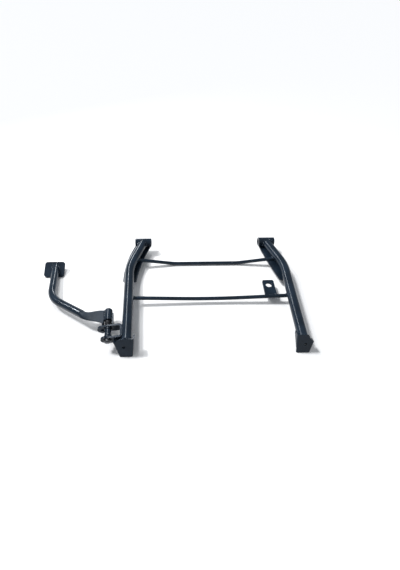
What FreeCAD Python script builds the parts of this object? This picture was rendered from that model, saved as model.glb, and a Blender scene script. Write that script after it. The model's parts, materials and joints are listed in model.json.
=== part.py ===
"""Motorcycle centre stand with a hinged side arm, lying as it rests on a table.

Row frame, in millimetres: X runs along the pivot line to the right, Y from the
soles towards the pivots, Z up. The origin is the middle of the pivot line.
"""
import FreeCAD
import Part
import math
import os

Vector = FreeCAD.Vector

# Frame: two bent tube legs between a pivot tube and a folded sole
rest_height = 26.0
pivot_spacing = 296.0
pivot_diameter = 20.0
pivot_bore = 12.3
pivot_length = 38.0
leg_diameter = 20.0
leg_wall = 2.0
leg_bend_spacing = 346.2
leg_bend_back = 83.7
leg_bend_radius = 120.0
sole_spacing = 320.5
leg_end_inset = 4.3
leg_start_gap = 6.0
weld_gap = 0.05

# Gusset plates under the legs at the pivots
gusset_thickness = 3.0
gusset_length = 118.7
gusset_front = 2.0
gusset_outer_offsets = (20.0, 17.5, 14.8)
right_gusset_inner_offsets = (16.5, 23.0, 13.6)
left_gusset_inner_offsets = (17.8, 17.0, 14.0)
gusset_corner = 3.0

# Cross rods, bowed downwards between the legs
rod_diameter = 8.0
upper_rod_back = 54.0
upper_rod_lean = 3.0
upper_rod_flat = 148.0
upper_rod_slope = 0.18
upper_rod_bend_radius = 60.0
lower_rod_back = 166.0
lower_rod_drop = 15.0
lower_rod_bow = 9.0
lower_rod_bend_radius = 1500.0

# Spring tab on the lower cross rod
tab_thickness = 4.0
tab_width = 24.8
tab_left = 117.0
tab_length = 45.2
tab_lean = 1.4
tab_corner = 4.0
tab_hole = 13.0
tab_hole_from_end = 14.6

# Folded sole plates, each corner as (reach out from the leg's end, height up the plate)
sole_front = 292.3
sole_lean = 20.0
sole_wall = 2.5
sole_depth = 14.5
sole_fold_radius = 3.5
sole_hole = 5.5
right_sole_corners = ((-9.95, 0.0), (16.45, 0.0), (20.65, 23.8), (4.6, 40.0), (-13.4, 40.0))
right_sole_hole = (4.35, 19.2)
left_sole_corners = ((-8.7, 0.0), (15.75, 0.0), (24.05, 30.4), (10.0, 39.0), (-14.0, 39.0))
left_sole_hole = (5.75, 21.3)
sole_flange_start = 8.8
sole_flange_full = 34.4

# Hinge of the side arm: its line runs beside the left leg
hinge_out = 34.95
hinge_from_front = 19.83
hinge_z = -1.0
hinge_turn = 6.5
pin_diameter = 8.0
pin_clearance = 0.05
pin_seat_clearance = 0.02
pin_chamfer = 0.8
pin_tip = 2.6
pin_seat_depth = 21.0
ear_thickness = 4.0
ear_radius = 8.0
ear_nose = 5.0
ear_nose_rise = 1.8
ear_nose_radius = 7.5
ear_gap = 21.8
bracket_reach = 26.5
bracket_fold_radius = 6.0
face_gap = 0.3

# Stop stud in the far ear, under the flat end of the arm
stud_diameter = 5.0
stud_reach = 10.8
stud_length = 57.3
stud_head_diameter = 8.0
stud_head_height = 2.5
stud_lobe_radius = 9.0
stud_lobe_drop = 2.0

# Parts on the hinge pin
hub_diameter = 15.5
hub_length = 28.5
hub_start = 43.5
hub_dome = 5.0
hub_chamfer = 1.0
spring_wire = 2.2
spring_mean_radius = 5.6
spring_pitch = 2.6
spring_tail_end = 10.6
catch_thickness = 2.4
catch_height = 8.0
catch_far = 59.3
spacer_bore_clearance = 0.05
spacer_lip_radius = 8.0
spacer_waist_radius = 5.8
spacer_collar_radius = 7.0
spacer_lip_length = 3.0
spacer_collar_length = 2.5
washer_diameter = 14.0
washer_thickness = 1.5
washer_clearance = 0.1
clip_diameter = 12.0
clip_thickness = 1.2
clip_groove_depth = 0.8
clip_mouth = 5.0
clip_play = 0.05

# Side arm: a round tube with a flattened end at the hub and an oblique end on the pad,
# its corners placed from the hinge
arm_diameter = 16.0
arm_wall = 2.0
arm_flat_width = 29.0
arm_flat_start_width = 20.5
arm_flat_thickness = 6.0
arm_flat_at = 51.8
arm_flat_end = 5.5
arm_kink = (-52.8, 58.7, -1.5)
arm_bend = (-130.4, 108.3, -7.0)
arm_bend_radius = 55.0
arm_flat_run = 10.0
arm_round_run = 9.0
arm_kink_width = 16.5
arm_kink_thickness = 10.5
arm_overrun = 30.0

# Foot pad, its middle placed from the hinge
pad_out = 149.3
pad_far = 200.0
pad_offset = 3.0
pad_width = 44.0
pad_length = 36.0
pad_thickness = 4.0
pad_tilt = 25.0
pad_corner = 6.0

floor = -rest_height
pivot_half = pivot_spacing / 2
bend_half = leg_bend_spacing / 2
sole_half = sole_spacing / 2
leg_back = sole_front - leg_end_inset
hinge_x = -(sole_half + hinge_out)
hinge_y = hinge_from_front - sole_front
pad_x = hinge_x - pad_out
pad_y = hinge_y + pad_far
leg_radius = leg_diameter / 2
rod_radius = rod_diameter / 2
pin_radius = pin_diameter / 2
ear_far = 2 * ear_thickness + ear_gap
x_axis = Vector(1, 0, 0)
y_axis = Vector(0, 1, 0)
z_axis = Vector(0, 0, 1)


def bent_path(points, bend_radius):
    """Straight runs between the points, joined by tangent arcs."""
    edges = []
    start = points[0]
    for before, corner, after in zip(points, points[1:], points[2:]):
        back = (before - corner).normalize()
        ahead = (after - corner).normalize()
        half_angle = back.getAngle(ahead) / 2
        tangent = bend_radius / math.tan(half_angle)
        middle_way = (back + ahead).normalize()
        centre = corner + middle_way * (bend_radius / math.sin(half_angle))
        arc_start = corner + back * tangent
        arc_end = corner + ahead * tangent
        edges.append(Part.LineSegment(start, arc_start).toShape())
        edges.append(Part.Arc(arc_start, centre - middle_way * bend_radius, arc_end).toShape())
        start = arc_end
    edges.append(Part.LineSegment(start, points[-1]).toShape())
    return Part.Wire(edges)


def round_bar(path, direction, start, radius):
    """A round section swept along a path."""
    section = Part.Wire(Part.makeCircle(radius, start, direction))
    return path.makePipeShell([section], True, False)


def bent_bar(points, bend_radius, radius):
    path = bent_path(points, bend_radius)
    return round_bar(path, points[1] - points[0], points[0], radius)


def cylinder_between(start, end, radius):
    return Part.makeCylinder(radius, (end - start).Length, start, end - start)


def prism(points, height):
    """A closed polygon extruded along Z."""
    outline = Part.makePolygon(points + [points[0]])
    return Part.Face(outline).extrude(Vector(0, 0, height))


def mirrored(shape):
    return shape.mirror(Vector(0, 0, 0), x_axis)


def leg_points():
    """Centre line of the right leg, from the pivot to the sole."""
    pivot = Vector(pivot_half, 0, 0)
    bend = Vector(bend_half, -leg_bend_back, 0)
    sole = Vector(sole_half, -leg_back, 0)
    start = pivot + (bend - pivot).normalize() * leg_start_gap
    return [start, bend, sole]


def leg_centre(y):
    """X of the right leg's centre line, bends taken as sharp."""
    if y > -leg_bend_back:
        return pivot_half + (bend_half - pivot_half) * -y / leg_bend_back
    share = (-y - leg_bend_back) / (leg_back - leg_bend_back)
    return bend_half + (sole_half - bend_half) * share


def leg_bar(extra=0.0):
    return bent_bar(leg_points(), leg_bend_radius, leg_radius + extra)


def pivot_bar(radius):
    start = Vector(pivot_half - pivot_length / 2, 0, 0)
    return Part.makeCylinder(radius, pivot_length, start, x_axis)


def pivot_tube():
    tube = pivot_bar(pivot_diameter / 2)
    return tube.cut(pivot_bar(pivot_bore / 2))


def sole_placement():
    """Local X across, Y up the plate and Z out of its front face."""
    lift = sole_wall * math.sin(math.radians(sole_lean))
    rotation = FreeCAD.Rotation(x_axis, 90 - sole_lean)
    return FreeCAD.Placement(Vector(0, -sole_front, floor + lift), rotation)


def sole_outline(corners):
    """Corners of a right-hand sole's front face, from its lower inner corner round."""
    return [Vector(sole_half + reach, height, 0) for reach, height in corners]


def sole_outline_grown(corners, extra, depth):
    """The outline moved outwards by a gap, or inwards by a negative one."""
    outline = sole_outline(corners)
    grown = Part.makePolygon(outline + [outline[0]]).makeOffset2D(extra, 2)
    grown.translate(Vector(0, 0, depth))
    return Part.Face(grown)


def sole_envelope(corners, extra):
    """The whole space of a right-hand sole with a gap all round."""
    space = sole_outline_grown(corners, extra, 0).extrude(Vector(0, 0, -sole_depth - extra))
    space.Placement = sole_placement()
    return space


def sole_plate(corners, hole):
    """Plate folded back along both sides, its flanges deepening upwards."""
    outline = sole_outline(corners)
    block = prism(outline, -sole_depth)
    inner_side = outline[4] - outline[0]
    outer_side = outline[2] - outline[1]
    folds = []
    for edge in block.Edges:
        along = edge.Vertexes[1].Point - edge.Vertexes[0].Point
        if abs(edge.CenterOfMass.z) > 0.01:
            continue
        if along.cross(inner_side).Length < 0.01 or along.cross(outer_side).Length < 0.01:
            folds.append(edge)
    block = block.makeFillet(sole_fold_radius, folds)
    hollow = sole_outline_grown(corners, -sole_wall, -sole_wall)
    hollow_points = [v.Point for v in hollow.OuterWire.OrderedVertexes]
    low_points = sorted(hollow_points, key=lambda point: point.y)[:2]
    low_points.sort(key=lambda point: point.x)
    inner_low, outer_low = low_points
    inner_way = inner_side * (1 / inner_side.y)
    outer_way = outer_side * (1 / outer_side.y)
    over = 2 * sole_flange_full
    opened = Part.makePolygon([
        inner_low - inner_way * (2 * sole_wall),
        outer_low - outer_way * (2 * sole_wall),
        outer_low + outer_way * over,
        inner_low + inner_way * over,
        inner_low - inner_way * (2 * sole_wall),
    ])
    plate = block.cut(Part.Face(opened).extrude(Vector(0, 0, -sole_depth)))
    across = sole_half - 3 * sole_depth
    wedge = Part.makePolygon([
        Vector(across, -sole_wall, -sole_wall),
        Vector(across, sole_flange_start, -sole_wall),
        Vector(across, sole_flange_full, -sole_depth),
        Vector(across, sole_flange_full, -2 * sole_depth),
        Vector(across, -sole_wall, -2 * sole_depth),
        Vector(across, -sole_wall, -sole_wall),
    ])
    plate = plate.cut(Part.Face(wedge).extrude(Vector(6 * sole_depth, 0, 0)))
    hole_at = Vector(sole_half + hole[0], hole[1], -2 * sole_wall)
    plate = plate.cut(Part.makeCylinder(sole_hole / 2, 3 * sole_wall, hole_at, z_axis))
    plate.Placement = sole_placement()
    return plate


def leg_tube():
    tube = leg_bar().cut(leg_bar(-leg_wall))
    tube = tube.cut(pivot_bar(pivot_diameter / 2 + weld_gap))
    reach = sole_half + sole_depth
    beyond = Part.makeBox(2 * reach, 3 * reach, reach, Vector(0, -reach, -sole_wall - weld_gap))
    beyond.Placement = sole_placement()
    return tube.cut(beyond)


def gusset_plate(rods, inner_offsets):
    """Flat plate under the leg, from the pivot tube to past the bend."""
    stations = (gusset_front, -gusset_length / 2, -gusset_length)
    top = -pivot_diameter / 2
    base = top - gusset_thickness
    outer = []
    inner = []
    for y, out, into in zip(stations, gusset_outer_offsets, inner_offsets):
        centre = leg_centre(min(y, 0))
        outer.append(Vector(centre + out, y, base))
        inner.append(Vector(centre - into, y, base))
    edges = [
        Part.Arc(outer[0], outer[1], outer[2]).toShape(),
        Part.LineSegment(outer[2], inner[2]).toShape(),
        Part.Arc(inner[2], inner[1], inner[0]).toShape(),
        Part.LineSegment(inner[0], outer[0]).toShape(),
    ]
    plate = Part.Face(Part.Wire(edges)).extrude(Vector(0, 0, gusset_thickness))
    corners = []
    for edge in plate.Edges:
        along = edge.Vertexes[-1].Point - edge.Vertexes[0].Point
        if abs(along.x) + abs(along.y) < 0.01 and edge.CenterOfMass.y < -gusset_length / 2:
            corners.append(edge)
    plate = plate.makeFillet(gusset_corner, corners)
    return plate.cut(rods)


def upper_rod_points():
    flat_end = upper_rod_flat / 2
    reach = leg_centre(-upper_rod_back)
    low = floor + rod_radius
    high = low + upper_rod_slope * (reach - flat_end)
    y = -upper_rod_back
    flat_y = y + upper_rod_lean
    return [
        Vector(-reach, y, high),
        Vector(-flat_end, flat_y, low),
        Vector(flat_end, flat_y, low),
        Vector(reach, y, high),
    ]


def upper_rod_bar(extra=0.0):
    return bent_bar(upper_rod_points(), upper_rod_bend_radius, rod_radius + extra)


def lower_rod_slope():
    """Slope of the rod's straight ends, from the depth of its bow."""
    reach = leg_centre(-lower_rod_back)
    radius = lower_rod_bend_radius
    return (math.sqrt(reach ** 2 + 2 * radius * lower_rod_bow) - reach) / radius


def lower_rod_z(x):
    """Height of the lower rod's centre line, an arc that bows down between straight ends."""
    slope = lower_rod_slope()
    arc_reach = lower_rod_bend_radius * math.sin(math.atan(slope))
    if abs(x) < arc_reach:
        return -lower_rod_drop + lower_rod_bend_radius - math.sqrt(lower_rod_bend_radius ** 2 - x ** 2)
    return lower_rod_z(0.999 * arc_reach) + slope * (abs(x) - arc_reach)


def lower_rod_bar(extra=0.0):
    reach = leg_centre(-lower_rod_back)
    y = -lower_rod_back
    high = lower_rod_z(reach)
    low = high - lower_rod_slope() * reach
    points = [Vector(-reach, y, high), Vector(0, y, low), Vector(reach, y, high)]
    return bent_bar(points, lower_rod_bend_radius, rod_radius + extra)


def spring_tab():
    centre_x = tab_left + tab_width / 2
    base = lower_rod_z(centre_x) - tab_thickness / 2
    near = -lower_rod_back
    far = near + tab_length
    outline = [
        Vector(tab_left - tab_lean, near, base),
        Vector(tab_left + tab_width - tab_lean, near, base),
        Vector(tab_left + tab_width, far, base),
        Vector(tab_left, far, base),
    ]
    plate = prism(outline, tab_thickness)
    corners = []
    for edge in plate.Edges:
        along = edge.Vertexes[1].Point - edge.Vertexes[0].Point
        if abs(along.z) > tab_thickness / 2 and edge.CenterOfMass.y > far - tab_corner:
            corners.append(edge)
    plate = plate.makeFillet(tab_corner, corners)
    hole_at = Vector(centre_x - tab_lean / 3, far - tab_hole_from_end, base - 1)
    plate = plate.cut(Part.makeCylinder(tab_hole / 2, tab_thickness + 2, hole_at, z_axis))
    return plate.cut(lower_rod_bar(weld_gap))


def on_hinge(shape):
    """Place a shape made in hinge axes: X towards the leg, Y along the pin to its far end."""
    rotation = FreeCAD.Rotation(z_axis, hinge_turn)
    shape.Placement = FreeCAD.Placement(Vector(hinge_x, hinge_y, hinge_z), rotation)
    return shape


def hinge_point(x, y, z):
    rotation = FreeCAD.Rotation(z_axis, hinge_turn)
    return Vector(hinge_x, hinge_y, hinge_z) + rotation.multVec(Vector(x, y, z))


def along_pin(radius, start, end, x=0.0, z=0.0):
    return Part.makeCylinder(radius, end - start, Vector(x, start, z), y_axis)


def stud_z():
    return -(arm_flat_thickness / 2 + face_gap + stud_diameter / 2)


def lobe(radius_a, radius_b, x_b, z_b, start, end):
    """Plate whose outline is two circles joined by their outer tangents."""
    distance = math.hypot(x_b, z_b)
    heading = math.atan2(z_b, x_b)
    spread = math.acos((radius_a - radius_b) / distance)
    corners = []
    for side in (spread, -spread):
        way = Vector(math.cos(heading + side), 0, math.sin(heading + side))
        corners.append(way * radius_a)
        corners.append(Vector(x_b, 0, z_b) + way * radius_b)
    ring = [corners[0], corners[1], corners[3], corners[2], corners[0]]
    body = Part.Face(Part.makePolygon(ring)).extrude(Vector(0, end - start, 0))
    body.translate(Vector(0, start, 0))
    body = body.fuse(along_pin(radius_a, start, end))
    return body.fuse(along_pin(radius_b, start, end, x_b, z_b)).removeSplitter()


def hinge_bracket(left_leg_bar):
    """Folded U with one eye in each ear, coped round the left leg and its sole."""
    height = 2 * ear_radius
    low = Vector(0, 0, -ear_radius)
    outer = Part.makeBox(bracket_reach, ear_far, height, low)
    uprights = []
    for edge in outer.Edges:
        middle = edge.CenterOfMass
        if abs(middle.x - bracket_reach) < 0.01 and abs(middle.z) < 0.01:
            uprights.append(edge)
    outer = outer.makeFillet(bracket_fold_radius, uprights)
    inner_low = Vector(-1, ear_thickness, -ear_radius - 1)
    inner = Part.makeBox(bracket_reach - ear_thickness + 1, ear_gap, height + 2, inner_low)
    uprights = []
    for edge in inner.Edges:
        middle = edge.CenterOfMass
        if middle.x > bracket_reach - ear_thickness - 0.01 and abs(middle.z) < 0.01:
            uprights.append(edge)
    inner = inner.makeFillet(bracket_fold_radius - ear_thickness, uprights)
    bracket = outer.cut(inner)
    nose = lobe(ear_radius, ear_nose_radius, -ear_nose, ear_nose_rise, 0, ear_thickness)
    bracket = bracket.fuse(nose)
    far_start = ear_thickness + ear_gap
    stop_lobe = lobe(ear_radius, stud_lobe_radius, -stud_reach, -stud_lobe_drop, far_start, ear_far)
    bracket = bracket.fuse(stop_lobe).removeSplitter()
    bracket = bracket.cut(along_pin(pin_radius + pin_clearance, -1, ear_far + 1))
    stud_hole = along_pin(stud_diameter / 2 + pin_seat_clearance, far_start - 1, ear_far + 1, -stud_reach, stud_z())
    bracket = on_hinge(bracket.cut(stud_hole))
    return bracket.cut(left_leg_bar).cut(mirrored(sole_envelope(left_sole_corners, weld_gap)))


def stop_stud():
    far_start = ear_thickness + ear_gap
    stud = along_pin(stud_diameter / 2, far_start - stud_head_height, stud_length, -stud_reach, stud_z())
    head = along_pin(stud_head_diameter / 2, far_start - stud_head_height, far_start, -stud_reach, stud_z())
    rim = []
    for edge in head.Edges:
        if edge.Closed and edge.CenterOfMass.y < far_start - stud_head_height / 2:
            rim.append(edge)
    head = head.makeChamfer(stud_head_height / 3, rim)
    return on_hinge(head.fuse(stud).removeSplitter())


def turned(profile):
    """Solid of revolution about the pin, from (radius, station) corners."""
    corners = [Vector(radius, station, 0) for radius, station in profile]
    outline = Part.makePolygon(corners + [corners[0]])
    return Part.Face(outline).revolve(Vector(0, 0, 0), y_axis, 360)


def arm_hub():
    """Round cap with a blind seat for the pin and a domed far end."""
    radius = hub_diameter / 2
    seat = pin_radius + pin_seat_clearance
    end = hub_start + hub_length
    seat_end = hub_start + pin_seat_depth
    profile = [(0, seat_end), (seat, seat_end), (seat, hub_start), (radius - hub_chamfer, hub_start)]
    profile.append((radius, hub_start + hub_chamfer))
    for angle in (0, 30, 60, 90):
        turn = math.radians(angle)
        out = radius - hub_dome + hub_dome * math.cos(turn)
        profile.append((out, end - hub_dome + hub_dome * math.sin(turn)))
    profile.append((0, end))
    return on_hinge(turned(profile))


def washer_start():
    return -face_gap - washer_thickness


def clip_start():
    return washer_start() - face_gap - clip_thickness


def hinge_pin():
    end = hub_start + pin_seat_depth
    pin = along_pin(pin_radius, clip_start() - pin_tip + clip_thickness, end)
    rims = [e for e in pin.Edges if e.Closed]
    pin = pin.makeChamfer(pin_chamfer, rims)
    groove_start = clip_start() - clip_play
    groove_end = clip_start() + clip_thickness + clip_play
    ring = along_pin(pin_radius + 1, groove_start, groove_end)
    ring = ring.cut(along_pin(pin_radius - clip_groove_depth, groove_start, groove_end))
    return on_hinge(pin.cut(ring))


def hinge_washer():
    start = washer_start()
    disc = along_pin(washer_diameter / 2, start, start + washer_thickness)
    hole = along_pin(pin_radius + washer_clearance, start - 1, start + washer_thickness + 1)
    return on_hinge(disc.cut(hole))


def hinge_clip():
    start = clip_start()
    end = start + clip_thickness
    ring = along_pin(clip_diameter / 2, start, end)
    ring = ring.cut(along_pin(pin_radius - clip_groove_depth + clip_play, start - 1, end + 1))
    mouth_low = Vector(-clip_mouth / 2, start - 1, -clip_diameter)
    mouth = Part.makeBox(clip_mouth, clip_thickness + 2, clip_diameter, mouth_low)
    return on_hinge(ring.cut(mouth))


def hinge_spacer():
    """Flared sleeve that keeps the ears apart on the pin."""
    start = ear_thickness + face_gap
    end = ear_thickness + ear_gap - face_gap
    bore = pin_radius + spacer_bore_clearance
    lip_end = start + spacer_lip_length
    collar_start = end - spacer_collar_length
    middle = (lip_end + collar_start) / 2
    flare = spacer_lip_radius - spacer_waist_radius
    profile = [(bore, start), (spacer_lip_radius, start), (spacer_lip_radius, lip_end)]
    for share, narrowing in ((0.3, 0.55), (0.65, 0.88), (1.0, 1.0)):
        station = lip_end + (middle - lip_end) * share
        profile.append((spacer_lip_radius - flare * narrowing, station))
    profile.append((spacer_waist_radius, collar_start))
    profile.append((spacer_collar_radius, collar_start))
    profile.append((spacer_collar_radius, end))
    profile.append((bore, end))
    return on_hinge(turned(profile))


def catch_inner():
    return hub_diameter / 2 - 0.25


def six_sided(centre, direction, radius):
    """Closed hexagon across a direction, its corners at a radius."""
    across = direction.cross(z_axis)
    if across.Length < 0.1:
        across = direction.cross(x_axis)
    across = across.normalize()
    upward = across.cross(direction).normalize()
    corners = []
    for step in range(7):
        turn = math.radians(60 * step)
        corners.append(centre + across * (radius * math.cos(turn)) + upward * (radius * math.sin(turn)))
    return Part.makePolygon(corners)


def return_spring():
    """Close coil round the pin, with a tail under the catch strip."""
    wire_radius = spring_wire / 2
    near = ear_far + face_gap + wire_radius
    far = hub_start - face_gap - wire_radius
    coil_path = Part.makeHelix(spring_pitch, far - near, spring_mean_radius)
    coil_path.rotate(Vector(0, 0, 0), x_axis, -90)
    tail_z = -catch_height / 2 - wire_radius - face_gap / 3
    far_point = coil_path.Vertexes[-1].Point
    wanted = math.atan2(tail_z, math.sqrt(spring_mean_radius ** 2 - tail_z ** 2))
    actual = math.atan2(far_point.z, far_point.x)
    coil_path.rotate(Vector(0, 0, 0), y_axis, math.degrees(actual - wanted))
    coil_path.translate(Vector(0, near, 0))
    start = coil_path.Vertexes[0].Point
    first = coil_path.Edges[0]
    section = six_sided(start, first.tangentAt(first.FirstParameter), wire_radius)
    coil = coil_path.makePipeShell([section], True, True)
    bend_at = coil_path.Vertexes[-1].Point
    tail_face = Part.Face(six_sided(bend_at, x_axis, wire_radius))
    tail = tail_face.extrude(Vector(spring_tail_end - bend_at.x, 0, 0))
    return on_hinge(coil.fuse(tail))


def spring_catch(hub):
    """Flat strip on the hub's side, reaching back to the far ear."""
    start = ear_far + face_gap
    low = Vector(catch_inner(), start, -catch_height / 2)
    strip = Part.makeBox(catch_thickness, catch_far - start, catch_height, low)
    return on_hinge(strip).cut(hub)


def oval(centre, direction, width, thickness):
    """Closed oval section across a direction, wide way level."""
    across = direction.cross(z_axis).normalize()
    upward = across.cross(direction).normalize()
    side = centre + across * (width / 2)
    top = centre + upward * (thickness / 2)
    return Part.Wire(Part.Ellipse(side, top, centre).toShape())


def arm_tube(hub_solid):
    hub_end = hinge_point(-arm_flat_end, arm_flat_at, 0)
    hinge = Vector(hinge_x, hinge_y, hinge_z)
    kink = hinge + Vector(*arm_kink)
    bend = hinge + Vector(*arm_bend)
    pad_point = Vector(pad_x + pad_offset, pad_y, pad_top())
    flat_way = (kink - hub_end).normalize()
    round_way = (bend - kink).normalize()
    last_way = (pad_point - bend).normalize()
    round_start = kink + round_way * arm_round_run
    path_points = [round_start, bend, pad_point + last_way * arm_overrun]
    tube = bent_bar(path_points, arm_bend_radius, arm_diameter / 2)
    flat_start = kink - flat_way * arm_flat_run
    sections = [
        Part.Wire(Part.makeCircle(arm_diameter / 2, round_start, round_way)),
        oval(kink, (flat_way + round_way).normalize(), arm_kink_width, arm_kink_thickness),
        oval(flat_start, flat_way, arm_flat_start_width, arm_flat_thickness),
        oval(hub_end, flat_way, arm_flat_width, arm_flat_thickness),
    ]
    flattened = Part.makeLoft(sections, True, False)
    arm = tube.fuse(flattened)
    bore_points = [round_start + round_way * arm_wall, bend, path_points[-1] + last_way]
    arm = arm.cut(bent_bar(bore_points, arm_bend_radius, arm_diameter / 2 - arm_wall))
    below_size = 3 * pad_width
    below = Part.makeBox(below_size, below_size, below_size, Vector(-below_size / 2, -below_size / 2, -below_size))
    below.Placement = pad_placement()
    return arm.cut(below).cut(hub_solid).cut(spring_space())


def pad_top():
    """Height of the middle of the pad's upper face, its near edge on the table."""
    tilt = math.radians(pad_tilt)
    return floor + pad_length / 2 * math.sin(tilt) + pad_thickness * math.cos(tilt)


def pad_placement():
    return FreeCAD.Placement(Vector(pad_x, pad_y, pad_top()), FreeCAD.Rotation(x_axis, pad_tilt))


def foot_pad():
    low = Vector(-pad_width / 2, -pad_length / 2, -pad_thickness)
    plate = Part.makeBox(pad_width, pad_length, pad_thickness, low)
    corners = []
    for edge in plate.Edges:
        along = edge.Vertexes[1].Point - edge.Vertexes[0].Point
        if abs(along.z) > pad_thickness / 2:
            corners.append(edge)
    plate = plate.makeFillet(pad_corner, corners)
    plate.Placement = pad_placement()
    return plate


def hub_envelope():
    return on_hinge(along_pin(hub_diameter / 2, hub_start, hub_start + hub_length))


def spring_space():
    """Room round the return spring that the arm's flat end keeps clear of."""
    radius = spring_mean_radius + spring_wire / 2 + face_gap
    return on_hinge(along_pin(radius, ear_far, hub_start))


def build():
    leg_solid = leg_bar(weld_gap)
    legs = leg_solid.fuse(mirrored(leg_solid))
    rods = upper_rod_bar(weld_gap)
    nodes = {}
    for name, shape in (("leg_tube", leg_tube()), ("pivot_tube", pivot_tube())):
        nodes["right_" + name] = shape
        nodes["left_" + name] = mirrored(shape)
    nodes["right_gusset_plate"] = gusset_plate(rods, right_gusset_inner_offsets)
    nodes["left_gusset_plate"] = mirrored(gusset_plate(rods, left_gusset_inner_offsets))
    nodes["right_sole_plate"] = sole_plate(right_sole_corners, right_sole_hole)
    nodes["left_sole_plate"] = mirrored(sole_plate(left_sole_corners, left_sole_hole))
    hub = arm_hub()
    nodes["upper_cross_rod"] = upper_rod_bar().cut(legs)
    nodes["lower_cross_rod"] = lower_rod_bar().cut(legs)
    nodes["spring_tab"] = spring_tab()
    nodes["hinge_bracket"] = hinge_bracket(mirrored(leg_solid))
    nodes["stop_stud"] = stop_stud()
    nodes["arm_hub"] = hub
    nodes["hinge_pin"] = hinge_pin()
    nodes["hinge_washer"] = hinge_washer()
    nodes["hinge_clip"] = hinge_clip()
    nodes["hinge_spacer"] = hinge_spacer()
    nodes["return_spring"] = return_spring()
    nodes["spring_catch"] = spring_catch(hub)
    nodes["arm_tube"] = arm_tube(hub_envelope())
    nodes["foot_pad"] = foot_pad()
    return nodes


os.makedirs("parts", exist_ok=True)
for node_name, solid in build().items():
    print(node_name, solid.isValid(), len(solid.Solids), round(solid.Volume, 1))
    solid.exportStep("parts/" + node_name + ".step")
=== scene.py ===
"""Finish, weld beads, spring, floor, light and camera for a motorcycle centre stand."""
import json
import math
import bmesh
import bpy
from mathutils import Matrix, Vector
from mathutils.bvhtree import BVHTree

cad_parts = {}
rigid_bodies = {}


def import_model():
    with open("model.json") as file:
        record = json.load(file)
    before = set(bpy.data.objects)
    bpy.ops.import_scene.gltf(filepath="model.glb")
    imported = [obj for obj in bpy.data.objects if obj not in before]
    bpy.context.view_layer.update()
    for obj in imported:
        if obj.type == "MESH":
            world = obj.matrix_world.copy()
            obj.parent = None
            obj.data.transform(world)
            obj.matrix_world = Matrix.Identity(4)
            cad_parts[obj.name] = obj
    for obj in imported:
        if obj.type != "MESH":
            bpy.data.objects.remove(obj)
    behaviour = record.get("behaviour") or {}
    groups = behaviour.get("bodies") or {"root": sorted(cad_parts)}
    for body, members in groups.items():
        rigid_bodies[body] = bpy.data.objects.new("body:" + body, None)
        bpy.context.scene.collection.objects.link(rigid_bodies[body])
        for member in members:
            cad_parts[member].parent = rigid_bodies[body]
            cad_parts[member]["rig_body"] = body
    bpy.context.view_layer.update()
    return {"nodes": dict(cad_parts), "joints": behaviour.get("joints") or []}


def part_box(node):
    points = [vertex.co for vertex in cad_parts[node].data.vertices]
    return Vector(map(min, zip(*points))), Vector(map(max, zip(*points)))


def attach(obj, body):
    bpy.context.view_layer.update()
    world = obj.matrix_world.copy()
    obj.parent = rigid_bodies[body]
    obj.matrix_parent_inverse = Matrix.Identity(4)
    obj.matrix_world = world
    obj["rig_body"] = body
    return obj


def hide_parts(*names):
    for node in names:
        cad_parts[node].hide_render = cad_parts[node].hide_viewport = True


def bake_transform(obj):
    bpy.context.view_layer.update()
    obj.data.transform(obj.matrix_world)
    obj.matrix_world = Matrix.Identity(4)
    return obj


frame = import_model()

bl_info = {
    "name": "Centre Stand Finish",
    "version": (1, 0, 0),
    "blender": (4, 5, 0),
    "location": "View3D > Sidebar > Stand",
    "description": "Black paint, weld beads, return spring and studio for a motorcycle centre stand",
    "category": "Object",
}

# What the frame gives
NODES = frame["nodes"]
JOINT = frame["joints"][0]
HINGE_FOOT = Vector(JOINT["pos_m"])
HINGE_LINE = Vector(JOINT["axis"]).normalized()
HINGE_ACROSS = HINGE_LINE.cross(Vector((0, 0, 1))).normalized()
FLOOR_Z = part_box("upper_cross_rod")[0].z

# Nodes by finish
TUBE_NODES = (
    "left_leg_tube", "right_leg_tube", "left_pivot_tube", "right_pivot_tube",
    "upper_cross_rod", "lower_cross_rod", "arm_hub", "hinge_spacer", "stop_stud",
)
PLATE_NODES = (
    "left_gusset_plate", "right_gusset_plate", "left_sole_plate", "right_sole_plate",
    "spring_tab", "hinge_bracket", "foot_pad", "spring_catch",
)
STEEL_NODES = ("hinge_pin", "hinge_washer", "hinge_clip")

# Scales of the noise in the finishes
MOTTLE_SCALE = 38.0
PEEL_SCALE = 620.0
GRIT_SCALE = 2400.0
DUST_SCALE = 90.0
CHIP_SCALE = 260.0
FOLD_SCALE = 125.0

# Black paint
PAINT_SHINE = 0.34
PAINT_TINT = (0.84, 0.92, 1.0)
BARE_EDGE = (0.14, 0.14, 0.15)
DUST_DULLNESS = 0.25

# Plated steel
ZINC_COLOUR = (0.1, 0.105, 0.115)
ZINC_ROUGHNESS = 0.36
SPRING_COLOUR = (0.045, 0.046, 0.05)
SPRING_ROUGHNESS = 0.38
STEEL_DUST_COLOUR = (0.06, 0.055, 0.05)
STEEL_DUST = 0.3
STEEL_PEEL = 0.00006
STEEL_METALLIC = 0.9

# Flattened end of the arm's tube, its place given in hinge axes
CRIMP_PLACE = (-0.024, 0.0575, -0.001)
CRIMP_INNER = 0.022
CRIMP_OUTER = 0.036
CRIMP_DULLNESS = 0.48
FOLD_HEIGHT = 0.0012

# Merged meshes and rounded plates
MERGE_DISTANCE = 1e-6
FLAT_ANGLE = math.radians(0.6)
EDGE_ANGLE = math.radians(35)
EDGE_SEGMENTS = 3
FLAT_WEIGHT = 100

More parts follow.
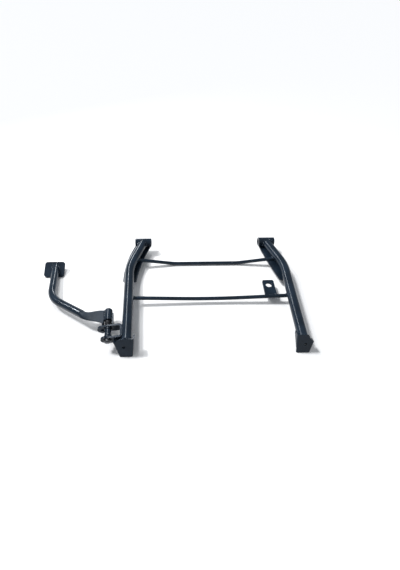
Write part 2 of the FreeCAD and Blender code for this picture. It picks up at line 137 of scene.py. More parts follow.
# Weld beads, with places along the legs measured from the line of the pivots
SEAM_ANGLE = math.radians(22)
OUTSIDE_OF_LEG = 0.0091
BESIDE_LEG = 0.4
BETWEEN_LEGS = 0.02
PIVOT_END = (-0.03, -0.06)
SOLE_END = (-0.262, -0.24)
SOLE_RING_Y = -0.26
SOLE_RING_OUT = 0.0009
FILLET_ASIDE = 0.0046
FILLET_LIFT = 0.0009
FILLET_INSET = 0.004
FILLET_TOP_Y = -0.012
FILLET_STEPS = 22
RIPPLE_SHAPE = (0.72, 1.0, 0.9)
RIPPLE_SMALLEST = 0.82
RIPPLE_LARGEST = 1.14

# Shares of the bead's width
SOLE_SHARE = 0.85
GUSSET_SHARE = 0.95
ROD_SHARES = (("upper_cross_rod", 1.0), ("lower_cross_rod", 1.4))
ROD_GUSSET_SHARE = 0.8

# Other welds: name, node, node it meets, seams, body, slot, share of the bead's width
SEAM_WELDS = (
    ("tab_weld", "spring_tab", "lower_cross_rod", 1, "frame", "plate_paint", 0.8),
    ("bracket_weld", "hinge_bracket", "left_leg_tube", 2, "frame", "bracket_paint", 1.4),
    ("arm_hub_weld", "arm_tube", "arm_hub", 1, "side_arm", "arm_paint", 0.9),
    ("arm_pad_weld", "arm_tube", "foot_pad", 1, "side_arm", "arm_paint", 1.0),
    ("catch_weld", "spring_catch", "arm_hub", 2, "side_arm", "arm_paint", 0.5),
)

# Return spring, its insets as shares of the wire's diameter
WIRE_INSET = 0.62
TAIL_INSET = 0.08
STEPS_PER_TURN = 36
WIRE_SIDES = 14

# Floor and light
FLOOR_HALF = 25.0
FLOOR_ROUGHNESS = 0.85
FLOOR_SHINE = 0.1
SKY_COLOUR = (0.93, 0.965, 1.0, 1)
MIRRORED_COLOUR = (0.8, 0.9, 1, 1)
SEEN_COLOUR = (1, 1, 1, 1)
KEY_WAY = (0.65, -0.4, -1.0)
STRIP_SIZE = (0.06, 0.9)
STRIP_PLACE = (-0.345, 0.307)
STRIP_HEIGHT = 0.5
STRIP_TILT = (math.radians(-30), math.radians(-20), 0)

# Camera fitted to the photo, in its pixels where not in metres
PHOTO_HEIGHT = 570
PHOTO_MIDDLE = (200, 285)
LENS_MIDDLE = (190.616, 283.711)
FOCAL_LENGTH = 309.184
SENSOR_WIDTH = 36.0
CAMERA_PLACE = (-0.032088, -0.583838, 0)
CLIP_RANGE = (0.01, 200.0)


class StandPaintSettings(bpy.types.PropertyGroup):
    """Colours and gloss of the black paint."""
    colour: bpy.props.FloatVectorProperty(
        name="Paint Colour", description="Base colour of the black paint",
        default=(0.0075, 0.0140, 0.0240), size=3, subtype="COLOR", min=0.0, max=1.0)
    dust_colour: bpy.props.FloatVectorProperty(
        name="Dust Colour", description="Colour of the thin dust on upward faces",
        default=(0.075, 0.082, 0.095), size=3, subtype="COLOR", min=0.0, max=1.0)
    gloss_roughness: bpy.props.FloatProperty(
        name="Paint Roughness", description="Roughness of clean paint", default=0.12, min=0.05, max=1.0)
    peel_height: bpy.props.FloatProperty(
        name="Orange Peel", description="Height of the waviness of the sprayed paint",
        default=0.00005, min=0.0, max=0.01, unit="LENGTH", precision=5)
    rub_width: bpy.props.FloatProperty(
        name="Edge Rub Width", description="How far paint is rubbed thin from a sharp edge",
        default=0.0007, min=0.0, max=0.01, unit="LENGTH", precision=5)


class StandWeldSettings(bpy.types.PropertyGroup):
    """Sizes of the weld beads."""
    bead_width: bpy.props.FloatProperty(
        name="Bead Width", description="Width of a weld bead on the tubes",
        default=0.0036, min=0.0005, max=0.02, unit="LENGTH", precision=4)
    ripple_pitch: bpy.props.FloatProperty(
        name="Ripple Pitch", description="Distance between the ripples of a bead",
        default=0.0013, min=0.0003, max=0.01, unit="LENGTH", precision=4)
    seed: bpy.props.IntProperty(name="Seed", description="Fixed seed of the ripple sizes", default=7)


class StandPlateSettings(bpy.types.PropertyGroup):
    """Edge rounding of the plates."""
    edge_round: bpy.props.FloatProperty(
        name="Edge Round", description="Radius of the cut edges of the plates",
        default=0.0004, min=0.0, max=0.003, unit="LENGTH", precision=5)


class StandSpringSettings(bpy.types.PropertyGroup):
    """Sizes of the return spring."""
    wire: bpy.props.FloatProperty(
        name="Wire Diameter", description="Diameter of the spring wire",
        default=0.0022, min=0.0005, max=0.01, unit="LENGTH", precision=4)
    coil_radius: bpy.props.FloatProperty(
        name="Coil Radius", description="Radius of the coil at the middle of the wire",
        default=0.0056, min=0.002, max=0.05, unit="LENGTH", precision=4)
    pitch: bpy.props.FloatProperty(
        name="Pitch", description="Distance along the pin from one turn to the next",
        default=0.0026, min=0.001, max=0.02, unit="LENGTH", precision=4)


class StandStageSettings(bpy.types.PropertyGroup):
    """Floor, light and camera."""
    floor_colour: bpy.props.FloatVectorProperty(
        name="Floor Colour", description="Colour of the floor", default=(0.955, 0.957, 0.965),
        size=3, subtype="COLOR", min=0.0, max=1.0)
    sky_strength: bpy.props.FloatProperty(
        name="Room Light", description="Strength of the light from all round",
        default=0.39, min=0.0, max=5.0)
    mirror_strength: bpy.props.FloatProperty(
        name="Mirrored Room", description="Strength of the room where glossy paint mirrors it",
        default=0.42, min=0.0, max=5.0)
    key_strength: bpy.props.FloatProperty(
        name="Key Light", description="Strength of the lamp from the far left",
        default=2.62, min=0.0, max=20.0)
    key_angle: bpy.props.FloatProperty(
        name="Key Size", description="Apparent size of the key lamp",
        default=math.radians(9), subtype="ANGLE")
    strip_strength: bpy.props.FloatProperty(
        name="Strip Light", description="Power of the long lamp overhead",
        default=3.8, min=0.0, max=500.0, unit="POWER")
    camera_height: bpy.props.FloatProperty(
        name="Camera Height", description="Height of the camera above the floor",
        default=0.505604, min=0.1, max=5.0, unit="LENGTH")
    camera_down: bpy.props.FloatProperty(
        name="Camera Angle", description="How far the camera looks down",
        default=math.radians(47.162), subtype="ANGLE")
    object_turn: bpy.props.FloatProperty(
        name="Object Turn", description="Turn of the stand in front of the camera",
        default=math.radians(3.515), subtype="ANGLE")
    camera_roll: bpy.props.FloatProperty(
        name="Camera Roll", description="Roll of the camera", default=math.radians(1.729), subtype="ANGLE")


class StandSettings(bpy.types.PropertyGroup):
    """All settings of the stand."""
    paint: bpy.props.PointerProperty(type=StandPaintSettings)
    weld: bpy.props.PointerProperty(type=StandWeldSettings)
    plate: bpy.props.PointerProperty(type=StandPlateSettings)
    spring: bpy.props.PointerProperty(type=StandSpringSettings)
    stage: bpy.props.PointerProperty(type=StandStageSettings)


def new_group(name, inputs, outputs):
    """Shader node group with sockets given as (name, socket type, default)."""
    group = bpy.data.node_groups.new(name, "ShaderNodeTree")
    for label, kind, value in inputs:
        socket = group.interface.new_socket(label, in_out="INPUT", socket_type=kind)
        if value is not None:
            socket.default_value = value
    for label, kind in outputs:
        group.interface.new_socket(label, in_out="OUTPUT", socket_type=kind)
    return group, group.nodes.new("NodeGroupInput"), group.nodes.new("NodeGroupOutput")


def add_node(tree, kind, links=(), **values):
    """Node with attributes set by keyword and inputs linked or set by (name, source or value)."""
    node = tree.nodes.new(kind)
    for label, value in values.items():
        setattr(node, label, value)
    for label, source in links:
        if isinstance(source, bpy.types.NodeSocket):
            tree.links.new(source, node.inputs[label])
        else:
            node.inputs[label].default_value = source
    return node


def noise(tree, place, scale, detail, **more):
    """Noise over the given coordinates, with further inputs by keyword. Gives its value."""
    links = [("Vector", place), ("Scale", scale), ("Detail", detail)] + list(more.items())
    return add_node(tree, "ShaderNodeTexNoise", links).outputs["Fac"]


def spread(tree, value, start, end, low=0.0, high=1.0):
    """A value's run from start to end, spread from low to high."""
    links = [("Value", value), ("From Min", start), ("From Max", end), ("To Min", low), ("To Max", high)]
    return add_node(tree, "ShaderNodeMapRange", links).outputs["Result"]


def combine(tree, operation, *values, clamp=False):
    """Result of a maths node over sockets or numbers."""
    node = add_node(tree, "ShaderNodeMath", enumerate(values), operation=operation, use_clamp=clamp)
    return node.outputs[0]


def paint_film_group():
    """Sprayed paint: mottled colour, roughness and orange peel."""
    existing = bpy.data.node_groups.get("sprayed_film")
    if existing:
        return existing
    group, given, result = new_group("sprayed_film", [
        ("Vector", "NodeSocketVector", None), ("Paint", "NodeSocketColor", (0.01, 0.01, 0.01, 1)),
        ("Roughness", "NodeSocketFloat", 0.3), ("Peel", "NodeSocketFloat", 0.0001)],
        [("Color", "NodeSocketColor"), ("Roughness", "NodeSocketFloat"), ("Normal", "NodeSocketVector")])
    place = given.outputs["Vector"]
    mottle = noise(group, place, MOTTLE_SCALE, 4.0)
    peel = noise(group, place, PEEL_SCALE, 2.0)
    grit = noise(group, place, GRIT_SCALE, 1.0)
    lighter = spread(group, mottle, 0.35, 0.7, 0.8, 1.5)
    shade = add_node(
        group, "ShaderNodeVectorMath", [(0, given.outputs["Paint"]), ("Scale", lighter)], operation="SCALE")
    wander = spread(group, mottle, 0.3, 0.75, -0.03, 0.06)
    speck = spread(group, grit, 0.35, 0.75, -0.02, 0.03)
    rough = combine(group, "ADD", given.outputs["Roughness"], wander)
    rougher = combine(group, "ADD", rough, speck, clamp=True)
    height = combine(group, "ADD", peel, grit)
    bump = add_node(group, "ShaderNodeBump", [
        ("Height", height), ("Distance", given.outputs["Peel"]), ("Strength", 0.55)])
    group.links.new(shade.outputs[0], result.inputs["Color"])
    group.links.new(rougher, result.inputs["Roughness"])
    group.links.new(bump.outputs[0], result.inputs["Normal"])
    return group


def broken_mask(group, given, result, whole, patch):
    """Send a mask, broken by patches and scaled by the group's amount, to the group's output."""
    both = combine(group, "MULTIPLY", whole, patch)
    final = combine(group, "MULTIPLY", both, given.outputs["Amount"], clamp=True)
    group.links.new(final, result.inputs["Mask"])


def settled_dust_group():
    """Mask of thin dust on faces that look up, broken by noise."""
    existing = bpy.data.node_groups.get("settled_dust")
    if existing:
        return existing
    group, given, result = new_group(
        "settled_dust", [("Vector", "NodeSocketVector", None), ("Amount", "NodeSocketFloat", 0.2)],
        [("Mask", "NodeSocketFloat")])
    facing = add_node(group, "ShaderNodeNewGeometry")
    split = add_node(group, "ShaderNodeSeparateXYZ", [(0, facing.outputs["Normal"])])
    upward = spread(group, split.outputs["Z"], 0.2, 1.0)
    patch = noise(group, given.outputs["Vector"], DUST_SCALE, 6.0, Roughness=0.7)
    broken_mask(group, given, result, upward, spread(group, patch, 0.4, 0.75))
    return group


def edge_rub_group():
    """Mask of thin paint along sharp edges."""
    existing = bpy.data.node_groups.get("edge_rub")
    if existing:
        return existing
    group, given, result = new_group("edge_rub", [
        ("Vector", "NodeSocketVector", None), ("Width", "NodeSocketFloat", 0.0007),
        ("Amount", "NodeSocketFloat", 0.5)], [("Mask", "NodeSocketFloat")])
    rounded = add_node(group, "ShaderNodeBevel", [("Radius", given.outputs["Width"])], samples=4)
    plain = add_node(group, "ShaderNodeNewGeometry")
    match = add_node(
        group, "ShaderNodeVectorMath", [(0, rounded.outputs[0]), (1, plain.outputs["Normal"])],
        operation="DOT_PRODUCT")
    turned = spread(group, match.outputs["Value"], 0.99, 0.86)
    patch = noise(group, given.outputs["Vector"], CHIP_SCALE, 5.0, Roughness=0.75)
    broken_mask(group, given, result, turned, spread(group, patch, 0.45, 0.66))
    return group


def crimp_wrinkles(tree, place, centre, rough, normal):
    """Duller, wrinkled paint round a place where a tube was pressed flat. Gives roughness and normal."""
    away = add_node(tree, "ShaderNodeVectorMath", [(0, place), (1, centre)], operation="DISTANCE")
    near = spread(tree, away.outputs["Value"], CRIMP_INNER, CRIMP_OUTER, 1.0, 0.0)
    folds = noise(tree, place, FOLD_SCALE, 2.0, Distortion=0.3)
    duller = combine(tree, "MULTIPLY_ADD", near, CRIMP_DULLNESS, rough)
    bump = add_node(tree, "ShaderNodeBump", [
        ("Height", folds), ("Distance", FOLD_HEIGHT), ("Strength", near), ("Normal", normal)])
    return duller, bump.outputs[0]


def over(tree, mask, under, colour):
    """One colour laid over another where a mask says."""
    node = add_node(
        tree, "ShaderNodeMix", [("Factor", mask), ("A", under), ("B", (*colour, 1))], data_type="RGBA")
    return node.outputs["Result"]


def new_material(name):
    """Material with nodes, its tree, its shader and its object coordinates."""
    material = bpy.data.materials.new(name)
    material.use_nodes = True
    tree = material.node_tree
    place = add_node(tree, "ShaderNodeTexCoord").outputs["Object"]
    return material, tree, tree.nodes["Principled BSDF"], place


def dusty_film(tree, place, colour, roughness, peel, dust, dust_colour):
    """Sprayed film under thin dust. Gives the film, the dust's mask and the colour."""
    film = add_node(tree, "ShaderNodeGroup", [
        ("Vector", place), ("Paint", (*colour, 1)), ("Roughness", roughness), ("Peel", peel),
    ], node_tree=paint_film_group())
    dusty = add_node(
        tree, "ShaderNodeGroup", [("Vector", place), ("Amount", dust)], node_tree=settled_dust_group())
    mask = dusty.outputs["Mask"]
    return film, mask, over(tree, mask, film.outputs["Color"], dust_colour)


def black_paint(name, rub, dust, gloss_shift=0.0, shine=PAINT_SHINE, crimp=None):
    """Black semi-gloss paint on steel, with wrinkles round a crimped place if one is given."""
    existing = bpy.data.materials.get(name)
    if existing:
        return existing
    paint = bpy.context.scene.stand.paint
    material, tree, shader, place = new_material(name)
    film, dusty, grey = dusty_film(
        tree, place, paint.colour, paint.gloss_roughness + gloss_shift, paint.peel_height,
        dust, paint.dust_colour)
    rubbed = add_node(tree, "ShaderNodeGroup", [
        ("Vector", place), ("Width", paint.rub_width), ("Amount", rub)], node_tree=edge_rub_group())
    tree.links.new(over(tree, rubbed.outputs["Mask"], grey, BARE_EDGE), shader.inputs["Base Color"])
    rough = combine(tree, "MULTIPLY_ADD", dusty, DUST_DULLNESS, film.outputs["Roughness"])
    normal = film.outputs["Normal"]
    if crimp is not None:
        rough, normal = crimp_wrinkles(tree, place, crimp, rough, normal)
    tree.links.new(rough, shader.inputs["Roughness"])
    tree.links.new(normal, shader.inputs["Normal"])
    shader.inputs["Specular IOR Level"].default_value = shine
    shader.inputs["Specular Tint"].default_value = (*PAINT_TINT, 1)
    return material


def plated_steel(name, colour, roughness):
    """Dull plated steel with fine waviness and stains."""
    existing = bpy.data.materials.get(name)
    if existing:
        return existing
    material, tree, shader, place = new_material(name)
    film, _, grey = dusty_film(tree, place, colour, roughness, STEEL_PEEL, STEEL_DUST, STEEL_DUST_COLOUR)
    tree.links.new(grey, shader.inputs["Base Color"])
    tree.links.new(film.outputs["Roughness"], shader.inputs["Roughness"])
    tree.links.new(film.outputs["Normal"], shader.inputs["Normal"])
    shader.inputs["Metallic"].default_value = STEEL_METALLIC
    return material


def set_material(node, material):
    """Give every slot of a node the same material."""
    for index in range(len(node.data.materials)):
        node.data.materials[index] = material


def body_of(node):
    """Name of the body that a node rides on."""
    return node["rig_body"]


def new_object(name, data):
    """Object with the given data, linked to the scene."""
    obj = bpy.data.objects.new(name, data)
    bpy.context.scene.collection.objects.link(obj)
    return obj


def modifier_input(modifier, label, value):
    """Set a node tree input by its socket's identifier."""
    for item in modifier.node_group.interface.items_tree:
        if item.item_type == "SOCKET" and item.in_out == "INPUT" and item.name == label:
            modifier[item.identifier] = value
            return
    raise ValueError("no input named " + label)


def settle(obj):
    """Turn a piece with live modifiers into a plain mesh."""
    graph = bpy.context.evaluated_depsgraph_get()
    mesh = bpy.data.meshes.new_from_object(obj.evaluated_get(graph), depsgraph=graph)
    obj.modifiers.clear()
    obj.data = mesh


def path_object(name, paths):
    """Mesh of edges along lists of points. A path is (points, closed)."""
    mesh = bpy.data.meshes.new(name)
    points = []
    edges = []
    for path, closed in paths:
        first = len(points)
        points.extend(path)
        edges.extend((first + i, first + i + 1) for i in range(len(path) - 1))
        if closed:
            edges.append((len(points) - 1, first))
    mesh.from_pydata(points, edges, [])
    return new_object(name, mesh)


def geometry_group(name, inputs):
    """Geometry node group with sockets given as (name, socket type, default)."""
    group = bpy.data.node_groups.new(name, "GeometryNodeTree")
    group.interface.new_socket("Geometry", in_out="INPUT", socket_type="NodeSocketGeometry")
    for label, kind, value in inputs:
        socket = group.interface.new_socket(label, in_out="INPUT", socket_type=kind)
        if value is not None:
            socket.default_value = value
    group.interface.new_socket("Geometry", in_out="OUTPUT", socket_type="NodeSocketGeometry")
    return group, group.nodes.new("NodeGroupInput"), group.nodes.new("NodeGroupOutput")


def weld_bead_tree():
    """Overlapping flat ripples along a path."""
    existing = bpy.data.node_groups.get("weld_bead")
    if existing:
        return existing
    group, given, result = geometry_group("weld_bead", [
        ("Bead Width", "NodeSocketFloat", 0.0036), ("Ripple Pitch", "NodeSocketFloat", 0.0013),
        ("Seed", "NodeSocketInt", 7), ("Material", "NodeSocketMaterial", None)])
    curve = add_node(group, "GeometryNodeMeshToCurve", [("Mesh", given.outputs["Geometry"])])
    stations = add_node(group, "GeometryNodeResampleCurve", [
        ("Curve", curve.outputs[0]), ("Length", given.outputs["Ripple Pitch"])], mode="LENGTH")
    ripple = add_node(group, "GeometryNodeMeshUVSphere", [("Segments", 9), ("Rings", 6), ("Radius", 0.5)])
    along = add_node(group, "GeometryNodeInputTangent")
    turn = add_node(group, "FunctionNodeAlignRotationToVector", [("Vector", along.outputs[0])], axis="X")
    sway = add_node(group, "FunctionNodeRandomValue", [
        ("Seed", given.outputs["Seed"]), (2, RIPPLE_SMALLEST), (3, RIPPLE_LARGEST)], data_type="FLOAT")
    width = combine(group, "MULTIPLY", given.outputs["Bead Width"], sway.outputs[1])
    size = add_node(group, "ShaderNodeVectorMath", [(0, RIPPLE_SHAPE), ("Scale", width)], operation="SCALE")
    beads = add_node(group, "GeometryNodeInstanceOnPoints", [
        ("Points", stations.outputs[0]), ("Instance", ripple.outputs["Mesh"]),
        ("Rotation", turn.outputs[0]), ("Scale", size.outputs[0])])
    real = add_node(group, "GeometryNodeRealizeInstances", [("Geometry", beads.outputs[0])])
    smooth = add_node(group, "GeometryNodeSetShadeSmooth", [("Geometry", real.outputs[0])])
    finish = add_node(group, "GeometryNodeSetMaterial", [
        ("Geometry", smooth.outputs[0]), ("Material", given.outputs["Material"])])
    group.links.new(finish.outputs[0], result.inputs[0])
    return group


def wire_tree():
    """Round wire along a path, with closed ends."""
    existing = bpy.data.node_groups.get("bent_wire")
    if existing:
        return existing
    group, given, result = geometry_group("bent_wire", [
        ("Wire Diameter", "NodeSocketFloat", 0.002), ("Sides", "NodeSocketInt", WIRE_SIDES),
        ("Material", "NodeSocketMaterial", None)])
    curve = add_node(group, "GeometryNodeMeshToCurve", [("Mesh", given.outputs["Geometry"])])
    half = combine(group, "MULTIPLY", given.outputs["Wire Diameter"], 0.5)
    ring = add_node(group, "GeometryNodeCurvePrimitiveCircle", [
        ("Resolution", given.outputs["Sides"]), ("Radius", half)])
    wire = add_node(group, "GeometryNodeCurveToMesh", [
        ("Curve", curve.outputs[0]), ("Profile Curve", ring.outputs[0]), ("Fill Caps", True)])
    smooth = add_node(group, "GeometryNodeSetShadeSmooth", [("Geometry", wire.outputs[0])])
    real = add_node(group, "GeometryNodeRealizeInstances", [("Geometry", smooth.outputs[0])])
    finish = add_node(group, "GeometryNodeSetMaterial", [
        ("Geometry", real.outputs[0]), ("Material", given.outputs["Material"])])
    group.links.new(finish.outputs[0], result.inputs[0])
    return group


def weld(name, paths, body, slot, width):
    """One weld bead piece along the given paths, riding on a body."""
    values = bpy.context.scene.stand.weld
    obj = path_object(name, paths)
    modifier = obj.modifiers.new("beads", "NODES")
    modifier.node_group = weld_bead_tree()
    modifier_input(modifier, "Bead Width", width)
    modifier_input(modifier, "Ripple Pitch", values.ripple_pitch)
    modifier_input(modifier, "Seed", values.seed)
    modifier_input(modifier, "Material", black_paint("weld_black", rub=0.1, dust=0.08))
    settle(obj)
    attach(obj, body)


def merged_form(name):
    """Merged copy of a node's mesh."""
    form = bmesh.new()
    form.from_mesh(NODES[name].data)
    bmesh.ops.remove_doubles(form, verts=form.verts, dist=MERGE_DISTANCE)
    return form


def surface_of(name):
    """Search tree over a node's surface."""
    form = merged_form(name)
    tree = BVHTree.FromBMesh(form)
    form.free()
    return tree


def chains_of(edges):
    """Join edges end to end into paths, each (points, closed)."""
    joined = {}
    for first, second in edges:
        joined.setdefault(first, []).append(second)
        joined.setdefault(second, []).append(first)
    paths = []
    while joined:
        ends = [point for point, others in joined.items() if len(others) == 1]
        start = min(ends or list(joined))
        path = [start]
        here = start
        while joined.get(here):
            ahead = min(joined[here])
            joined[here].remove(ahead)
            joined[ahead].remove(here)
            path.append(ahead)
            here = ahead
        for point in [point for point, others in joined.items() if not others]:
            del joined[point]
        closed = path[0] == path[-1]
        points = [Vector(point) for point in (path[:-1] if closed else path)]
        paths.append((points, closed))
    return paths


def path_length(path):
    """Length of a path, with its closing edge where it is closed."""
    points, closed = path
    pairs = list(zip(points, points[1:])) + ([(points[-1], points[0])] if closed else [])
    return sum((b - a).length for a, b in pairs)


def seams(name, onto, within=0.0009, shortest=0.008, most=1, keep=None):
    """Paths along a node's sharp edges where it meets another node, longest first."""
    form = merged_form(name)
    target = surface_of(onto)
    edges = []
    for edge in form.edges:
        if len(edge.link_faces) != 2 or edge.calc_face_angle() < SEAM_ANGLE:
            continue
        ends = [vert.co for vert in edge.verts]
        if all((target.find_nearest(end, within)[0] is not None) for end in ends):
            if keep is None or all(keep(end) for end in ends):
                edges.append(tuple(tuple(round(value, 7) for value in end) for end in ends))
    form.free()
    found = [path for path in chains_of(edges) if path_length(path) > shortest]
    return sorted(found, key=path_length, reverse=True)[:most]


def way_out(side):
    """Sign of X from the middle of the stand to a side."""
    return 1.0 if side == "right" else -1.0


def leg_middle(side, y):
    """Middle of a leg's section at a place along it."""
    tree = surface_of(side + "_leg_tube")
    way = way_out(side)
    outer = tree.ray_cast(Vector((BESIDE_LEG * way, y, 0)), Vector((-way, 0, 0)))[0]
    inner = tree.ray_cast(Vector((BETWEEN_LEGS * way, y, 0)), Vector((way, 0, 0)))[0]
    return (outer + inner) / 2


def off_leg_axis(side, first_y, second_y):
    """Test that keeps points on the outside of a leg, by the axis through two places."""
    start = leg_middle(side, first_y)
    way = (leg_middle(side, second_y) - start).normalized()

    def keep(point):
        across = (point - start) - way * (point - start).dot(way)
        return across.length > OUTSIDE_OF_LEG

    return keep


def pushed_out(paths, toward, distance):
    """Paths moved off their own middle and toward a point, both by the same distance."""
    moved = []
    for points, closed in paths:
        middle = sum(points, Vector()) / len(points)
        back = (toward - middle).normalized()
        shifted = []
        for point in points:
            out = (point - middle) - back * (point - middle).dot(back)
            shifted.append(point + out.normalized() * distance + back * distance)
        moved.append((shifted, closed))
    return moved


def gusset_fillets(side):
    """Two paths along the top of a gusset, one on each side of its leg."""
    low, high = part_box(side + "_gusset_plate")
    start = low.y + FILLET_INSET
    fillets = []
    for lateral in (FILLET_ASIDE, -FILLET_ASIDE):
        fillet = []
        for step in range(FILLET_STEPS + 1):
            y = start + (FILLET_TOP_Y - start) * step / FILLET_STEPS
            aside = Vector((lateral * way_out(side), 0, high.z + FILLET_LIFT))
            fillet.append(leg_middle(side, y) + aside)
        fillets.append((fillet, False))
    return fillets


def hinge_place(across, along, up):
    """Point in hinge axes: across towards the leg, along the pin to its far end, up."""
    return HINGE_FOOT + HINGE_ACROSS * across + HINGE_LINE * along + Vector((0, 0, up))


def pin_span(name):
    """Where a node starts and ends along the hinge pin."""
    along = [(vert.co - HINGE_FOOT).dot(HINGE_LINE) for vert in NODES[name].data.vertices]
    return min(along), max(along)


def spring_tail(beyond):
    """Reach and height of the solid spring's tail, from its points beyond the coil."""
    places = [vert.co - HINGE_FOOT for vert in NODES["return_spring"].data.vertices]
    tail = [place for place in places if place.dot(HINGE_ACROSS) > beyond]
    heights = [place.z for place in tail]
    return max(place.dot(HINGE_ACROSS) for place in tail), (min(heights) + max(heights)) / 2


def rounded_plate(name, edge_round, material):
    """Copy of a plate with merged faces and softly rounded edges, which stands for its node."""
    node = NODES[name]
    mesh = bpy.data.meshes.new(name + "_skin")
    form = merged_form(name)
    bmesh.ops.dissolve_limit(form, angle_limit=FLAT_ANGLE, verts=form.verts, edges=form.edges)
    form.to_mesh(mesh)
    form.free()
    mesh.materials.clear()
    mesh.materials.append(material)
    obj = new_object(name + "_skin", mesh)
    for face in mesh.polygons:
        face.use_smooth = True
    bevel = obj.modifiers.new("edge", "BEVEL")
    bevel.width = edge_round
    bevel.segments = EDGE_SEGMENTS
    bevel.limit_method = "ANGLE"
    bevel.angle_limit = EDGE_ANGLE
    bevel.harden_normals = True
    flat = obj.modifiers.new("flat", "WEIGHTED_NORMAL")
    flat.mode = "FACE_AREA"
    flat.weight = FLAT_WEIGHT
    settle(obj)
    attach(obj, body_of(node))
    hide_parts(name)


def lay_floor(values):
    """Wide pale floor under the stand."""
    corners = [(-1, -1), (1, -1), (1, 1), (-1, 1)]
    mesh = bpy.data.meshes.new("floor")
    mesh.from_pydata([(x * FLOOR_HALF, y * FLOOR_HALF, FLOOR_Z) for x, y in corners], [], [(0, 1, 2, 3)])
    floor = new_object("floor", mesh)
    white = bpy.data.materials.new("pale_floor")
    white.use_nodes = True
    shader = white.node_tree.nodes["Principled BSDF"]
    shader.inputs["Base Color"].default_value = (*values.floor_colour, 1)
    shader.inputs["Roughness"].default_value = FLOOR_ROUGHNESS
    shader.inputs["Specular IOR Level"].default_value = FLOOR_SHINE
    mesh.materials.append(white)


def light_room(values):
    """Even light from all round, with a bluer room for glossy paint to mirror and white where seen."""
    world = bpy.data.worlds.new("room")
    world.use_nodes = True
    bpy.context.scene.world = world
    tree = world.node_tree
    room = tree.nodes["Background"]
    room.inputs["Color"].default_value = SKY_COLOUR
    room.inputs["Strength"].default_value = values.sky_strength
    seen = add_node(tree, "ShaderNodeBackground", [("Color", SEEN_COLOUR), ("Strength", 1.0)])
    mirrored = add_node(tree, "ShaderNodeBackground", [
        ("Color", MIRRORED_COLOUR), ("Strength", values.mirror_strength)])
    ray = add_node(tree, "ShaderNodeLightPath")
    gloss = add_node(tree, "ShaderNodeMixShader", [
        (0, ray.outputs["Is Glossy Ray"]), (1, room.outputs[0]), (2, mirrored.outputs[0])])
    mix = add_node(tree, "ShaderNodeMixShader", [
        (0, ray.outputs["Is Camera Ray"]), (1, gloss.outputs[0]), (2, seen.outputs[0])])
    tree.links.new(mix.outputs[0], tree.nodes["World Output"].inputs["Surface"])


def hang_lamps(values):
    """Key lamp from the far left and a long narrow lamp overhead."""
    key = bpy.data.lights.new("key", "SUN")
    key.energy = values.key_strength
    key.angle = values.key_angle
    new_object("key", key).rotation_euler = Vector(KEY_WAY).to_track_quat("-Z", "Y").to_euler()
    strip = bpy.data.lights.new("strip", "AREA")
    strip.shape = "RECTANGLE"
    strip.size, strip.size_y = STRIP_SIZE
    strip.energy = values.strip_strength
    strip_object = new_object("strip", strip)
    strip_object.location = (*STRIP_PLACE, FLOOR_Z + STRIP_HEIGHT)
    strip_object.rotation_euler = STRIP_TILT
    strip_object.visible_camera = False


def place_camera(values):
    """Camera where the photo was taken from, with the object's turn given to the camera."""
    camera = bpy.data.cameras.new("camera")
    camera.sensor_fit = "AUTO"
    camera.sensor_width = SENSOR_WIDTH
    camera.lens = FOCAL_LENGTH / PHOTO_HEIGHT * SENSOR_WIDTH
    camera.shift_x = (PHOTO_MIDDLE[0] - LENS_MIDDLE[0]) / PHOTO_HEIGHT
    camera.shift_y = (LENS_MIDDLE[1] - PHOTO_MIDDLE[1]) / PHOTO_HEIGHT
    camera.clip_start, camera.clip_end = CLIP_RANGE
    camera_object = new_object("camera", camera)
    down = values.camera_down
    roll = values.camera_roll
    unturn = Matrix.Rotation(-values.object_turn, 3, "Z")
    forward = unturn @ Vector((0, math.cos(down), -math.sin(down)))
    right = unturn @ Vector((1, 0, 0))
    below = forward.cross(right)
    image_x = right * math.cos(roll) - below * math.sin(roll)
    image_down = right * math.sin(roll) + below * math.cos(roll)
    place = unturn @ Vector(CAMERA_PLACE) + Vector((0, 0, FLOOR_Z + values.camera_height))
    axes = Matrix((image_x, -image_down, -forward)).transposed().to_4x4()
    camera_object.matrix_world = Matrix.Translation(place) @ axes
    bpy.context.scene.camera = camera_object


class STAND_OT_tubes(bpy.types.Operator):
    """Paint the tubes, rods and turned parts black"""
    bl_idname = "stand.tubes"
    bl_label = "Tubes and Rods"

    def execute(self, context):
        for name in TUBE_NODES:
            set_material(NODES[name], black_paint("tube_black", rub=0.25, dust=0.05))
        crimp = tuple(hinge_place(*CRIMP_PLACE))
        set_material(NODES["arm_tube"], black_paint("crimped_black", rub=0.25, dust=0.05, crimp=crimp))
        return {"FINISHED"}


class STAND_OT_plates(bpy.types.Operator):
    """Round the edges of the plates and paint them black"""
    bl_idname = "stand.plates"
    bl_label = "Plates"

    def execute(self, context):
        values = context.scene.stand.plate
        paint = black_paint("plate_black", rub=0.4, dust=0.03, gloss_shift=0.1, shine=0.2)
        for name in PLATE_NODES:
            rounded_plate(name, values.edge_round, paint)
        return {"FINISHED"}


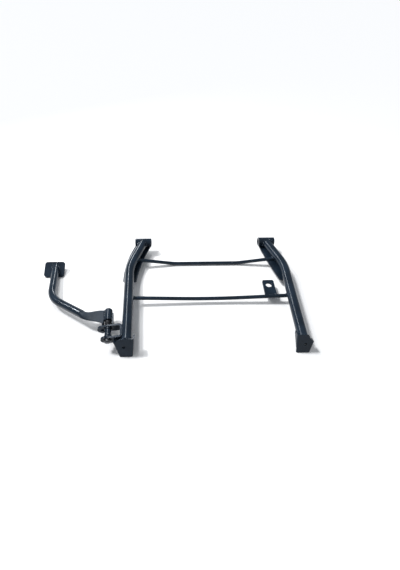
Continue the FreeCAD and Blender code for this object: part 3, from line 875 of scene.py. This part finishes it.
class STAND_OT_welds(bpy.types.Operator):
    """Lay the weld beads where the pieces of the frame and of the arm meet"""
    bl_idname = "stand.welds"
    bl_label = "Weld Beads"

    def execute(self, context):
        width = context.scene.stand.weld.bead_width
        for side in ("left", "right"):
            leg = side + "_leg_tube"
            outside = off_leg_axis(side, *PIVOT_END)
            saddle = seams(leg, side + "_pivot_tube", shortest=0.006, most=6, keep=outside)
            weld(side + "_pivot_weld", saddle, "frame", "frame_paint", width)
            end = seams(leg, side + "_sole_plate", within=0.0016, keep=off_leg_axis(side, *SOLE_END))
            ring = pushed_out(end, leg_middle(side, SOLE_RING_Y), SOLE_RING_OUT)
            weld(side + "_sole_weld", ring, "frame", "frame_paint", width * SOLE_SHARE)
            weld(side + "_gusset_weld", gusset_fillets(side), "frame", "plate_paint", width * GUSSET_SHARE)
        for rod, share in ROD_SHARES:
            joints = []
            for side in ("left", "right"):
                joints += seams(rod, side + "_leg_tube", shortest=0.004)
            weld(rod + "_welds", joints, "frame", "rod_paint", width * share)
        rod_on_plate = []
        for side in ("left", "right"):
            rod_on_plate += seams(side + "_gusset_plate", "upper_cross_rod", most=2, shortest=0.004)
        if rod_on_plate:
            weld("rod_gusset_welds", rod_on_plate, "frame", "rod_paint", width * ROD_GUSSET_SHARE)
        for name, node, onto, most, body, slot, share in SEAM_WELDS:
            weld(name, seams(node, onto, most=most), body, slot, width * share)
        return {"FINISHED"}


class STAND_OT_fixings(bpy.types.Operator):
    """Give the pin, washer and clip their plated steel"""
    bl_idname = "stand.fixings"
    bl_label = "Pin and Fixings"

    def execute(self, context):
        for name in STEEL_NODES:
            set_material(NODES[name], plated_steel("dull_zinc", ZINC_COLOUR, ZINC_ROUGHNESS))
        return {"FINISHED"}


class STAND_OT_spring(bpy.types.Operator):
    """Wind the return spring round the pin"""
    bl_idname = "stand.spring"
    bl_label = "Return Spring"

    def execute(self, context):
        values = context.scene.stand.spring
        near, far = pin_span("return_spring")
        near += values.wire * WIRE_INSET
        far -= values.wire * WIRE_INSET
        reach, tail_up = spring_tail(values.coil_radius + values.wire)
        turns = (far - near) / values.pitch
        last_turn = math.asin(tail_up / values.coil_radius)
        count = int(turns * STEPS_PER_TURN)
        points = []
        for step in range(count + 1):
            share = step / count
            turn = last_turn - math.tau * turns * (1 - share)
            across = values.coil_radius * math.cos(turn)
            up = values.coil_radius * math.sin(turn)
            points.append(hinge_place(across, near + (far - near) * share, up))
        points.append(hinge_place(reach - values.wire * TAIL_INSET, far, tail_up))
        obj = path_object("return_spring_wire", [(points, False)])
        modifier = obj.modifiers.new("wire", "NODES")
        modifier.node_group = wire_tree()
        modifier_input(modifier, "Wire Diameter", values.wire)
        modifier_input(modifier, "Sides", WIRE_SIDES)
        modifier_input(modifier, "Material", plated_steel("spring_dark", SPRING_COLOUR, SPRING_ROUGHNESS))
        settle(obj)
        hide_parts("return_spring")
        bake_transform(obj)
        return {"FINISHED"}


class STAND_OT_stage(bpy.types.Operator):
    """Floor, light and camera"""
    bl_idname = "stand.stage"
    bl_label = "Floor, Light and Camera"

    def execute(self, context):
        values = context.scene.stand.stage
        lay_floor(values)
        light_room(values)
        hang_lamps(values)
        place_camera(values)
        context.scene.view_settings.view_transform = "Standard"
        return {"FINISHED"}


CLASSES = (
    StandPaintSettings, StandWeldSettings, StandPlateSettings, StandSpringSettings, StandStageSettings,
    StandSettings, STAND_OT_tubes, STAND_OT_plates, STAND_OT_welds, STAND_OT_fixings, STAND_OT_spring,
    STAND_OT_stage,
)


class STAND_PT_panel(bpy.types.Panel):
    """Lists the steps of the stand"""
    bl_idname = "STAND_PT_panel"
    bl_label = "Centre Stand"
    bl_space_type = "VIEW_3D"
    bl_region_type = "UI"
    bl_category = "Stand"

    def draw(self, context):
        for step in ("tubes", "plates", "welds", "fixings", "spring", "stage"):
            self.layout.operator("stand." + step)


def register():
    for cls in CLASSES:
        bpy.utils.register_class(cls)
    bpy.utils.register_class(STAND_PT_panel)
    bpy.types.Scene.stand = bpy.props.PointerProperty(type=StandSettings)


def unregister():
    del bpy.types.Scene.stand
    bpy.utils.unregister_class(STAND_PT_panel)
    for cls in reversed(CLASSES):
        bpy.utils.unregister_class(cls)


def main():
    register()
    bpy.ops.stand.tubes()
    bpy.ops.stand.plates()
    bpy.ops.stand.welds()
    bpy.ops.stand.fixings()
    bpy.ops.stand.spring()
    bpy.ops.stand.stage()


if __name__ == "__main__":
    main()
